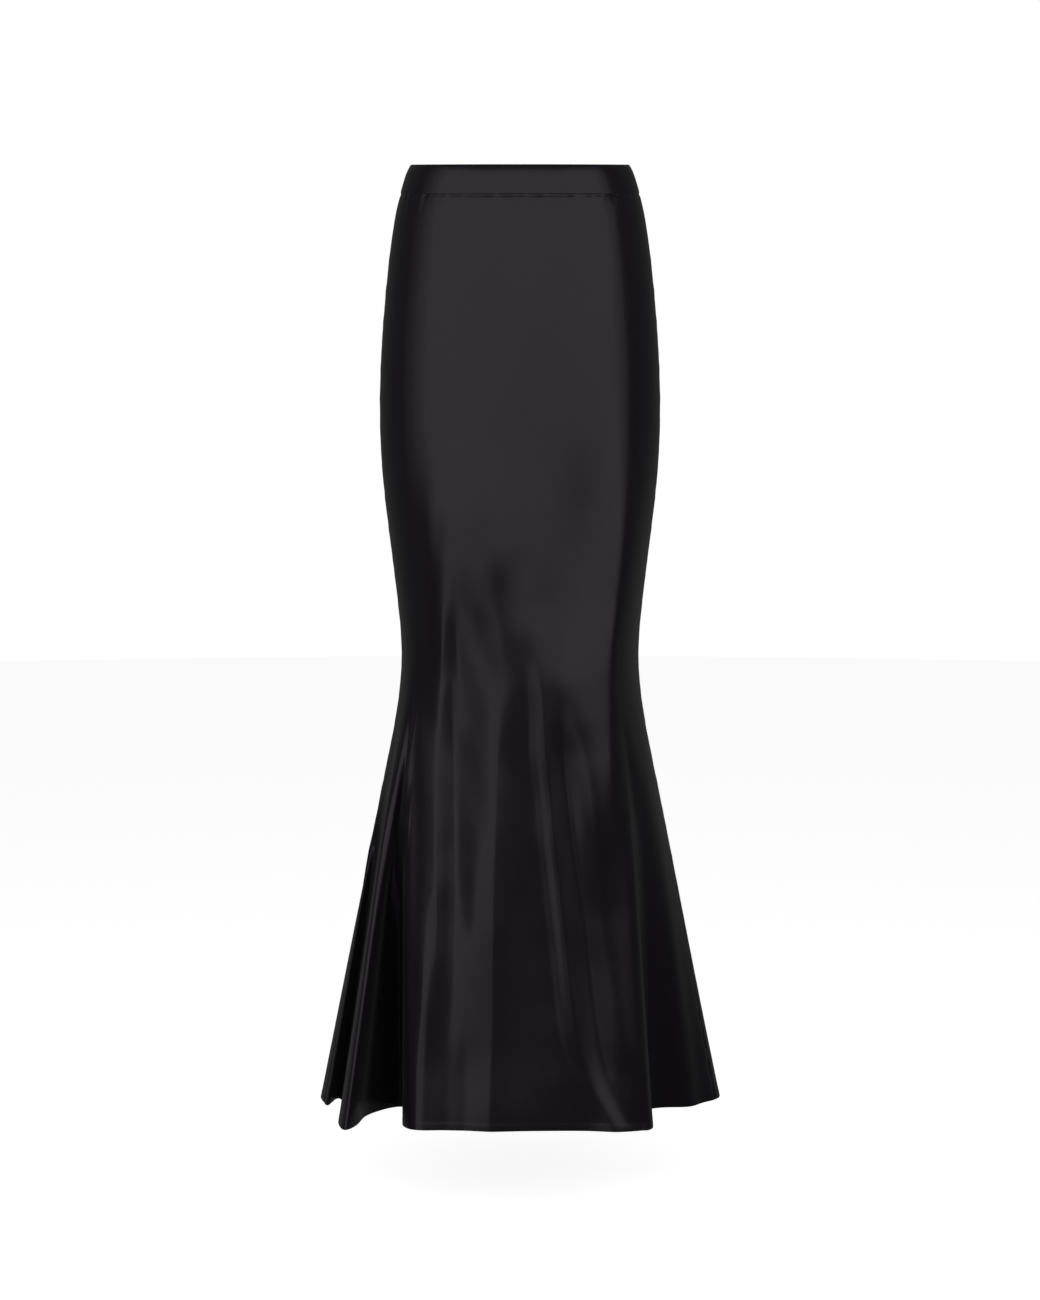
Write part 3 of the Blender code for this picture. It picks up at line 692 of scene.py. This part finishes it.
# concealed zip in the centre-back seam: the tapes and coil lie inside, only the tab shows outside
zipper = {
    "end": 0.205,              # drop of the coil's lower end
    "depth": 0.0026,           # tape's face below the outer face of the cloth
    "tapeInset": 0.0012,       # tape's inner edge from the seam line
    "tapeWidth": 0.012,
    "tapeWall": 0.0006,
    "tapeTop": 0.004,
    "tapeTail": 0.012,
    "tapeSeat": 0.0002,        # tape's face behind that depth
    "tapeRows": 90,
    "tapeColumns": 9,
    "coilHalf": 0.00062,       # half the width of the turns, and half their depth
    "coilRise": 0.00046,
    "coilPitch": 0.0011,
    "coilWire": 0.00022,
    "coilSeat": 0.0007,        # middle of the turns behind the tape's face
    "coilGaps": (0.0016, 0.0004),  # free length below the slider and above the lower end
    "turnPoints": 10,
    "coilColours": ("#0f0f11", "#161618"),
    "coilRoughness": (0.28, 0.4),
    "coilGrainMm": 0.5,
    "coilReliefMm": 0.01,
    "stop": (0.0017, 0.0018, 0.0037),  # width, depth and height
    "stopGap": 0.0003,
    "stopRounding": (0.0004, 0.0003),
}


def backPoints(drops, across, inset):
    # points on the centre back at these drops and places across, this far inside the cloth's face
    reach = 0.002
    upper, lower = np.maximum(drops - reach, 0.0), drops + reach
    sizes = readSections(drops)
    slope = np.arctan2(readSections(lower)[..., 2] - readSections(upper)[..., 2], lower - upper)
    curve = sizes[..., 2] * (1 - np.sqrt(1 - (across / sizes[..., 0]) ** 2))
    y = sizes[..., 2] - inset * np.cos(slope) - curve
    return np.stack((across + 0 * y, y, -drops - inset * np.sin(slope)), axis=-1)


def buildTapes(material):
    # a tape at each side of the centre-back seam
    made = {}
    drops = np.linspace(zipper["tapeTop"], zipper["end"] + zipper["tapeTail"], zipper["tapeRows"])
    shares = np.linspace(0.0, 1.0, zipper["tapeColumns"])
    for side, name, cadNode in ((1, "zipTapeLeft", "zip_tape_left"), (-1, "zipTapeRight", "zip_tape_right")):
        across = side * (zipper["tapeInset"] + zipper["tapeWidth"] * shares)[::-side]
        level, place = np.meshgrid(drops, across, indexing="ij")
        grid = backPoints(level, place, zipper["depth"] + zipper["tapeSeat"])
        piece = shellObject(name, grid, zipper["tapeWall"], [material], place, level)
        made[name] = ride(piece, cadNode)
    return made


def joinMeshes(name, parts, material):
    # several closed meshes, each with its place, as one piece
    work = bmesh.new()
    for mesh, seat in parts:
        mesh.transform(seat)
        work.from_mesh(mesh)
        bpy.data.meshes.remove(mesh)
    bmesh.ops.recalc_face_normals(work, faces=work.faces)
    mesh = bpy.data.meshes.new(name)
    work.to_mesh(mesh)
    work.free()
    mesh.shade_smooth()
    mesh.set_sharp_from_angle(angle=math.radians(40))
    return placeMesh(name, mesh, [material])


def curveMesh(points, closed, settings):
    # mesh of a curve through the loops of points, with doubled points welded
    curve = bpy.data.curves.new("outline", "CURVE")
    for name, value in settings.items():
        setattr(curve, name, value)
    for loop in points:
        spline = curve.splines.new("POLY")
        spline.points.add(len(loop) - 1)
        for point, place in zip(spline.points, loop):
            point.co = tuple(place) + (0.0,) * (3 - len(place)) + (1.0,)
        spline.use_cyclic_u = closed
    holder = bpy.data.objects.new("outline", curve)
    bpy.context.scene.collection.objects.link(holder)
    mesh = bpy.data.meshes.new_from_object(holder.evaluated_get(bpy.context.evaluated_depsgraph_get()))
    bpy.data.objects.remove(holder, do_unlink=True)
    work = bmesh.new()
    work.from_mesh(mesh)
    bmesh.ops.remove_doubles(work, verts=work.verts, dist=1e-6)
    work.to_mesh(mesh)
    work.free()
    return mesh


def plateMesh(loops, thickness, edge):
    # an upright plate with rounded edges; the first loop is its rim and the others are holes
    flat = {"dimensions": "2D", "fill_mode": "BOTH", "extrude": thickness / 2 - edge, "bevel_depth": edge,
            "bevel_resolution": 2, "offset": -edge}
    mesh = curveMesh(loops, True, flat)
    mesh.transform(Matrix.Rotation(math.radians(90), 4, "X"))
    return mesh


def roundCorners(corners, radius, steps=5):
    # closed outline through the corners, each rounded from this far along its two sides
    points = []
    for i, corner in enumerate(corners):
        corner = Vector(corner)
        start = corner + (Vector(corners[i - 1]) - corner).normalized() * radius
        end = corner + (Vector(corners[(i + 1) % len(corners)]) - corner).normalized() * radius
        for k in range(steps + 1):
            t = k / steps
            points.append(tuple(start * (1 - t) ** 2 + corner * 2 * t * (1 - t) + end * t * t))
    return points


def rectangle(width, height, radius, middle=0.0):
    # outline with its middle at this height
    x, z = width / 2, height / 2
    return roundCorners(((-x, middle - z), (x, middle - z), (x, middle + z), (-x, middle + z)), radius)


def buildCoil(material):
    # nylon monofilament wound in small turns across the seam line
    above, below = zipper["coilGaps"]
    top = slider["drop"] + slider["length"] / 2 + above
    turns = int((zipper["end"] - below - top) / zipper["coilPitch"])
    angles = np.linspace(0.0, 2 * math.pi * turns, turns * zipper["turnPoints"] + 1)
    drops = top + zipper["coilPitch"] * angles / (2 * math.pi)
    inset = zipper["depth"] + zipper["coilSeat"] - zipper["coilRise"] * np.cos(angles)
    points = backPoints(drops, zipper["coilHalf"] * np.sin(angles), inset)
    strand = {"dimensions": "3D", "bevel_depth": zipper["coilWire"], "bevel_resolution": 1,
              "use_fill_caps": True}
    mesh = curveMesh([points.tolist()], False, strand)
    made = joinMeshes("zipCoil", [(mesh, Matrix.Identity(4))], material)
    made.data.shade_smooth()
    return ride(made, "zip_coil")


def seatAt(drop, inset, reach):
    # frame on the centre back (X across, Y away from the cloth, Z up along it) and its slope
    drops = np.array((drop - reach, drop, drop + reach))
    top, middle, low = backPoints(drops, np.zeros(3), 0.0)
    slope = math.atan2(low[1] - top[1], top[2] - low[2])
    face = Matrix.Translation(Vector(middle)) @ Matrix.Rotation(slope, 4, "X")
    return face @ Matrix.Translation((0, -inset, 0)), slope


def buildStop(material):
    # the block that closes the coil's lower end
    width, depth, height = zipper["stop"]
    radius, edge = zipper["stopRounding"]
    drop = zipper["end"] + zipper["stopGap"] + height / 2
    seat, _ = seatAt(drop, zipper["depth"] + depth / 2, height / 2)
    mesh = plateMesh([rectangle(width, height, radius)], depth, edge)
    return ride(joinMeshes("zipStop", [(mesh, seat)], material), "zip_stop")


slider = {
    "drop": 0.012,
    "length": 0.0084,
    "width": 0.0056,
    "inside": -0.0039,         # inner body's outer face, seen from the cloth's face
    "shield": ((-0.72, -1.0), (0.72, -1.0), (1.0, -0.2), (1.0, 0.7),     # inner plates' outline,
               (0.6, 1.0), (-0.6, 1.0), (-1.0, 0.7), (-1.0, -0.2)),      # in half widths and lengths
    "shieldRadius": 0.0009,
    "shieldWall": 0.0006,
    "shieldStep": 0.0012,      # from one inner plate's face to the next
    "flange": (0.0005, 0.62, 0.0016, -0.0001),  # width, share of the length, depth, middle
    "plate": (0.0034, 0.0007, 0.00756),  # outer plate's width, wall and length
    "plateShape": ((-0.72, -1.0), (0.72, -1.0), (1.0, -0.2), (1.0, 1.0), (-1.0, 1.0), (-1.0, -0.2)),
    "plateRadius": 0.0007,
    "plateOut": 0.001,
    "bridgeRoom": 0.002,
    "bridgeWall": 0.0007,
    "bridgeWidth": 0.0014,
    "bridgePower": (0.55, 0.75),  # below 1 makes the arch squarer, outwards and upwards
    "bridgePoints": 16,
    "neck": (0.0014, 0.00504, 0.0004),  # width, length and corner radius
    "sunk": 0.0003,            # how far the joined parts sink into each other
    "edge": 0.0002,            # rounding of the cast edges
    "fineEdge": 0.0001,
    "colours": ("#161618", "#1e1e21"),
    "roughness": (0.26, 0.38),
    "grainMm": 0.7,
    "reliefMm": 0.008,
}


def bridgeOutline(half, foot, rise, wall):
    # arch seen from the side: (out, up) along its outer face and back along its inner one
    outer, inner = [], []
    outPower, upPower = slider["bridgePower"]
    for k in range(slider["bridgePoints"] + 1):
        turn = math.pi * (k / slider["bridgePoints"] - 0.5)
        up, out = math.sin(turn), math.cos(turn)
        shape = (abs(out) ** outPower, math.copysign(abs(up) ** upPower, up))
        outer.append((foot + (rise + wall) * shape[0], half * shape[1]))
        inner.append((foot + rise * shape[0], (half - wall) * shape[1]))
    return outer + inner[::-1]


def buildSlider(material):
    # inner body of two plates and two flanges, a neck through the seam, outer plate and bridge
    seat, _ = seatAt(slider["drop"], 0.0, slider["length"] / 2)
    half, long = slider["width"] / 2, slider["length"] / 2
    sunk, edge, fine = slider["sunk"], slider["edge"], slider["fineEdge"]
    inside, out = slider["inside"], slider["plateOut"]
    shield = roundCorners([(half * x, long * z) for x, z in slider["shield"]], slider["shieldRadius"])
    wall, step = slider["shieldWall"], slider["shieldStep"]
    flangeWidth, flangeShare, flangeDepth, flangeMiddle = slider["flange"]
    flange = rectangle(flangeWidth, slider["length"] * flangeShare, edge, flangeMiddle)
    flangeOut = inside - (wall + step) / 2
    plateWidth, plateWall, plateLong = slider["plate"]
    plate = roundCorners([(plateWidth / 2 * x, plateLong / 2 * z) for x, z in slider["plateShape"]],
                         slider["plateRadius"])
    neckOut, neckIn = out - sunk, inside - sunk
    neck = plateMesh([rectangle(*slider["neck"])], neckOut - neckIn, fine)
    arch = bridgeOutline(plateLong / 2 - sunk, out - edge, slider["bridgeRoom"] + edge, slider["bridgeWall"])
    bridge = plateMesh([arch], slider["bridgeWidth"], edge)
    bridge.transform(Matrix.Rotation(math.radians(90), 4, "Z"))
    parts = [
        (plateMesh([shield], wall, edge), (0, inside - wall / 2, 0)),
        (plateMesh([shield], wall, edge), (0, inside - wall / 2 - step, 0)),
        (plateMesh([flange], flangeDepth, fine), (half - flangeWidth, flangeOut, 0)),
        (plateMesh([flange], flangeDepth, fine), (flangeWidth - half, flangeOut, 0)),
        (neck, (0, (neckOut + neckIn) / 2, 0)),
        (plateMesh([plate], plateWall, edge), (0, out - plateWall / 2, 0)),
        (bridge, (0, 0, 0)),
    ]
    seated = [(mesh, seat @ Matrix.Translation(place)) for mesh, place in parts]
    return ride(joinMeshes("zipSlider", seated, material), "zip_slider")


tab = {
    "length": 0.02,
    "width": 0.0046,
    "topWidth": 0.004,
    "thickness": 0.0008,
    "edge": 0.0002,
    "bar": 0.0005,             # half the height of the bar it swings on
    "corner": 0.0006,          # cut off the two upper corners
    "slot": (0.0024, 0.0052),  # its width, and its foot's depth below the axle
    "slotRadius": 0.0004,
    "bossInset": 0.0009,       # raised drop: rim to its edge, gap below the slot, half its top, rise
    "bossGap": 0.0022,
    "bossTop": 0.0006,
    "bossRise": 0.0004,
    "lean": math.radians(2.0),  # hangs this much off the cloth's own slope
}


def tabEnd(inset):
    # the tab's round lower end from left to right, this far inside the rim
    half = tab["width"] / 2
    turns = [math.pi * k / 20 for k in range(20, -1, -1)]
    return [((half - inset) * math.cos(turn), half - tab["length"] - (half - inset) * math.sin(turn))
            for turn in turns]


def buildTab(material):
    # drop-shaped tab, hung by the bar above its slot, with a raised drop on both faces
    seat, slope = seatAt(slider["drop"], 0.0, slider["length"] / 2)
    axle = seat @ Vector((0.0, slider["plateOut"] + slider["bridgeRoom"] / 2, 0.0))
    hang = Matrix.Translation(axle) @ Matrix.Rotation(slope - tab["lean"], 4, "X")
    top, bar, corner = tab["topWidth"] / 2, tab["bar"], tab["corner"]
    shoulder = [(top, bar - corner), (top - corner, bar)]
    rim = [(-x, z) for x, z in shoulder] + tabEnd(0.0) + shoulder
    width, foot = tab["slot"]
    slot = rectangle(width, foot - bar, tab["slotRadius"], -(foot + bar) / 2)
    upper, bossHalf = -foot - tab["bossGap"], tab["bossTop"]
    boss = [(-bossHalf, upper)] + tabEnd(tab["bossInset"])[::4] + [(bossHalf, upper)]
    boss = roundCorners(boss, tab["slotRadius"])
    parts = [(plateMesh([rim, slot], tab["thickness"], tab["edge"]), hang),
             (plateMesh([boss], tab["thickness"] + tab["bossRise"], tab["edge"]), hang)]
    return ride(joinMeshes("zipPullTab", parts, material), "zip_pull_tab", "pull_tab")


satin = {
    "colours": ("#1a161b", "#1d191e"),  # the uneven dye shows only close by
    "specular": 0.5,
    "sheen": "#fbf2ff",
    "fuzz": 0.08,              # fibre ends that lighten the cloth where it is seen edge on
    "fuzzRoughness": 0.5,
    "faceRoughness": 0.24,
    "reverseRoughness": 0.55,
    "unevenness": 0.02,        # of the roughness, along the slubs
    "floatMm": 5.655,          # real floats are about 0.2 mm, drawn much coarser as a faint grain
    "reliefMm": 0.01,
    "reliefStrength": 0.15,
    "slubMm": 6.0,
    "slubStretch": 0.15,       # slubs are this much narrower than they are long
}
tape = {
    "colours": ("#0e0e10", "#1b1b1e"),
    "roughness": (0.86, 0.72),
    "specular": 0.3,
    "ribMm": 3.77,             # real ribs are about 0.5 mm, drawn coarser so that they show
    "stripeMm": 25.13,         # the herringbone turns once across each tape
    "reliefMm": 0.1,
    "reliefStrength": 0.6,
}


def newMaterial(name, specular=0.5):
    # the material, its node tree and its shader
    material = bpy.data.materials.new(name)
    material.use_nodes = True
    tree = material.node_tree
    shader = tree.nodes["Principled BSDF"]
    shader.inputs["Specular IOR Level"].default_value = specular
    return material, tree, shader


def finishSurface(tree, shader, pattern, colours, roughness, height, strength, reliefMm):
    # colour and roughness follow the pattern, and the height is felt as fine relief
    shade = node(tree, "ShaderNodeMix", {"data_type": "RGBA"}, in0=pattern, in6=toLinear(colours[0]),
                 in7=toLinear(colours[1]))
    rough = node(tree, "ShaderNodeMapRange", Value=pattern, To_Min=roughness[0], To_Max=roughness[1])
    bump = node(tree, "ShaderNodeBump", Height=height, Strength=strength, Distance=reliefMm / 1000)
    for name, socket in (("Base Color", shade.outputs[2]), ("Roughness", rough.outputs[0]),
                         ("Normal", bump.outputs[0])):
        tree.links.new(socket, shader.inputs[name])


def waveScale(pitchMm):
    # the wave texture has 20 / (2 pi) waves in each unit at scale 1
    return 1000 / pitchMm * 2 * math.pi / 20


def satinMaterial(name, roughness, grainDegrees):
    # polyester satin, warp floats on the face: near black, with a broad soft highlight from the floats
    material, tree, shader = newMaterial(name, satin["specular"])
    shader.inputs["Specular Tint"].default_value = toLinear(satin["sheen"])
    shader.inputs["Sheen Weight"].default_value = satin["fuzz"]
    shader.inputs["Sheen Roughness"].default_value = satin["fuzzRoughness"]
    uv = node(tree, "ShaderNodeUVMap", {"uv_map": "cloth"})
    grain = node(tree, "ShaderNodeMapping", Vector=uv.outputs[0],
                 Rotation=(0.0, 0.0, math.radians(grainDegrees)))
    floats = node(tree, "ShaderNodeTexWave", {"wave_type": "BANDS", "bands_direction": "X"},
                  Vector=grain.outputs[0], Scale=waveScale(satin["floatMm"]), Distortion=1.5, Detail=2.0,
                  Detail_Scale=2.0)
    long = node(tree, "ShaderNodeMapping", Vector=grain.outputs[0], Scale=(1.0, satin["slubStretch"], 1.0))
    slub = node(tree, "ShaderNodeTexNoise", Vector=long.outputs[0], Scale=1000 / satin["slubMm"], Detail=3.0)
    spread = (roughness - satin["unevenness"], roughness + satin["unevenness"])
    finishSurface(tree, shader, slub.outputs[0], satin["colours"], spread, floats.outputs[1],
                  satin["reliefStrength"], satin["reliefMm"])
    return material


def tapeMaterial():
    # polyester zip tape, woven in a herringbone: matt, with small ribs that catch the light
    material, tree, shader = newMaterial("polyester tape, woven herringbone", tape["specular"])
    uv = node(tree, "ShaderNodeUVMap", {"uv_map": "cloth"})
    turned = [node(tree, "ShaderNodeMapping", Vector=uv.outputs[0], Rotation=(0.0, 0.0, math.radians(angle)))
              for angle in (45, -45)]
    ribs = [node(tree, "ShaderNodeTexWave", {"bands_direction": "X"}, Vector=place.outputs[0],
                 Scale=waveScale(tape["ribMm"])) for place in turned]
    stripe = node(tree, "ShaderNodeTexWave", {"bands_direction": "X", "wave_profile": "SIN"},
                  Vector=uv.outputs[0], Scale=waveScale(tape["stripeMm"]))
    half = node(tree, "ShaderNodeMath", {"operation": "GREATER_THAN"}, in0=stripe.outputs[1], in1=0.5)
    weave = node(tree, "ShaderNodeMix", in0=half.outputs[0], in2=ribs[0].outputs[1], in3=ribs[1].outputs[1])
    finishSurface(tree, shader, weave.outputs[0], tape["colours"], tape["roughness"], weave.outputs[0],
                  tape["reliefStrength"], tape["reliefMm"])
    return material


def speckledMaterial(name, colours, roughness, grainMm, reliefMm, specular=0.5):
    # a finish whose colour and gloss vary finely over the surface, with a slight unevenness in relief
    material, tree, shader = newMaterial(name, specular)
    place = node(tree, "ShaderNodeTexCoord")
    speck = node(tree, "ShaderNodeTexNoise", Vector=place.outputs["Object"], Scale=1000 / grainMm, Detail=4.0)
    finishSurface(tree, shader, speck.outputs[0], colours, roughness, speck.outputs[0], 0.4, reliefMm)
    return material


studio = {
    "lens": 130.5,
    "distance": 5.5,
    "lookDrop": 0.5675,
    "floorDrop": 0.1,          # floor below the hem
    "floorRadius": 6.0,
    "floorColours": ("#f4f4f4", "#ffffff"),
    "floorRoughness": (0.88, 0.94),
    "floorGrainMm": 40.0,
    "floorReliefMm": 0.02,
    "floorGlow": 0.9,          # keeps the floor as white as the air round it
    "fill": 0.05,              # what the cloth sees where there is no light
    "boxes": (
        # azimuth in degrees, distance, width, low edge, high edge, radiance
        (0, 2.2, 2.052, -0.5, 1.9, 0.68),
        (-45, 2.2, 1.592, -0.5, 1.9, 0.68),
        (45, 2.2, 1.592, -0.5, 1.9, 0.68),
        (-71, 2.2, 0.5, -0.5, 1.9, 0.4),
        (71, 2.2, 0.5, -0.5, 1.9, 0.4),
        (-84, 2.2, 0.5, -0.5, 1.9, 0.15),
        (-32, 2.2, 1.3, -0.82, -0.5, 0.64),
        (-44, 2.2, 0.3, -1.18, -0.82, 1.0),
    ),
    "backBoxes": (
        # these light the back of the skirt only
        (180, 2.2, 2.052, -0.75, 1.9, 0.4),
        (135, 2.2, 1.592, -0.75, 1.9, 0.5),
        (-135, 2.2, 1.592, -0.75, 1.9, 0.3),
    ),
}


def buildSoftboxes(boxes, label, receivers=None):
    # upright softboxes round the skirt; those with receivers light nothing else
    for i, (azimuth, distance, width, low, high, radiance) in enumerate(boxes):
        name = f"{label} {i}"
        light = bpy.data.lights.new(name, "AREA")
        light.shape = "RECTANGLE"
        light.size, light.size_y = width, high - low
        light.energy = radiance * math.pi * width * (high - low)
        lamp = bpy.data.objects.new(name, light)
        bpy.context.scene.collection.objects.link(lamp)
        angle = math.radians(azimuth)
        lamp.location = (math.sin(angle) * distance, -math.cos(angle) * distance, (low + high) / 2)
        lamp.rotation_euler = (math.pi / 2, 0.0, angle)
        lamp.visible_camera = False
        if receivers:
            lamp.light_linking.receiver_collection = receivers


def buildStudio():
    # camera, softboxes and white air, which the cloth itself sees only dimly
    scene = bpy.context.scene
    camera = bpy.data.objects.new("camera", bpy.data.cameras.new("camera"))
    scene.collection.objects.link(camera)
    camera.data.lens = studio["lens"]
    camera.location = (0.0, -studio["distance"], 0.0)
    aim = Vector((0.0, 0.0, -studio["lookDrop"])) - camera.location
    camera.rotation_euler = aim.to_track_quat("-Z", "Y").to_euler()
    scene.camera = camera

    world = bpy.data.worlds.new("studio air")
    world.use_nodes = True
    scene.world = world
    tree = world.node_tree
    tree.nodes.clear()
    seen = node(tree, "ShaderNodeLightPath")
    white = node(tree, "ShaderNodeBackground", Color=(1, 1, 1, 1), Strength=1.0)
    fill = node(tree, "ShaderNodeBackground", Color=(1, 1, 1, 1), Strength=studio["fill"])
    mixed = node(tree, "ShaderNodeMixShader", in0=seen.outputs["Is Camera Ray"], in1=fill.outputs[0],
                 in2=white.outputs[0])
    node(tree, "ShaderNodeOutputWorld", Surface=mixed.outputs[0])
    buildSoftboxes(studio["boxes"], "softbox")
    scene.view_settings.view_transform = "Standard"
    print("studio: camera and", len(studio["boxes"]), "front lights")


def buildFloor():
    # white floor that throws nothing onto the skirt
    bpy.ops.mesh.primitive_circle_add(vertices=96, radius=studio["floorRadius"], fill_type="NGON",
                                      location=(0.0, 0.0, -skirtLength - studio["floorDrop"]))
    floor = bpy.context.object
    floor.name = "floor"
    # matt paint: an even white ground with no mirror image
    paint = speckledMaterial("matt white floor paint", studio["floorColours"], studio["floorRoughness"],
                             studio["floorGrainMm"], studio["floorReliefMm"])
    shader = paint.node_tree.nodes["Principled BSDF"]
    shader.inputs["Emission Color"].default_value = (1, 1, 1, 1)
    shader.inputs["Emission Strength"].default_value = studio["floorGlow"]
    floor.data.materials.append(paint)
    floor.visible_glossy = False
    floor.visible_diffuse = False


buildStudio()
buildFloor()
satinFace = satinMaterial("polyester satin, cut on the bias", satin["faceRoughness"], 45)
# the reverse shows the weft: duller, with no clear highlight
satinReverse = satinMaterial("polyester satin, reverse", satin["reverseRoughness"], 45)
# the same gloss as the face, with its grain upright
bandSatin = satinMaterial("polyester satin, straight grain", satin["faceRoughness"], 0)
# spun polyester thread: dull, a little fibrous
threadFinish = speckledMaterial("polyester thread, spun", thread["colours"], thread["roughness"],
                                thread["grainMm"], thread["reliefMm"], thread["specular"])
# nylon monofilament, wound: smooth and slightly glossy
coilFinish = speckledMaterial("nylon coil, wound", zipper["coilColours"], zipper["coilRoughness"],
                              zipper["coilGrainMm"], zipper["coilReliefMm"])
# zinc alloy, die cast and lacquered black: an even, softly glossy coat
metalFinish = speckledMaterial("zinc alloy, lacquered black", slider["colours"], slider["roughness"],
                               slider["grainMm"], slider["reliefMm"])
print("materials ready")

panels, hems = buildPanels([satinFace, satinReverse])
bands = buildBand(bandSatin)
buildStitches(hems, threadFinish)
tapes = buildTapes(tapeMaterial())
zipParts = [buildCoil(coilFinish), buildStop(metalFinish), buildSlider(metalFinish), buildTab(metalFinish)]
print("zip ready")

backSide = bpy.data.collections.new("lit from behind")
backs = [panels["backPanelLeft"], panels["backPanelRight"], bands["bandBackLeft"], bands["bandBackRight"]]
for made in [*backs, *tapes.values(), *zipParts]:
    backSide.objects.link(made)
buildSoftboxes(studio["backBoxes"], "back softbox", backSide)
print("back lights ready")
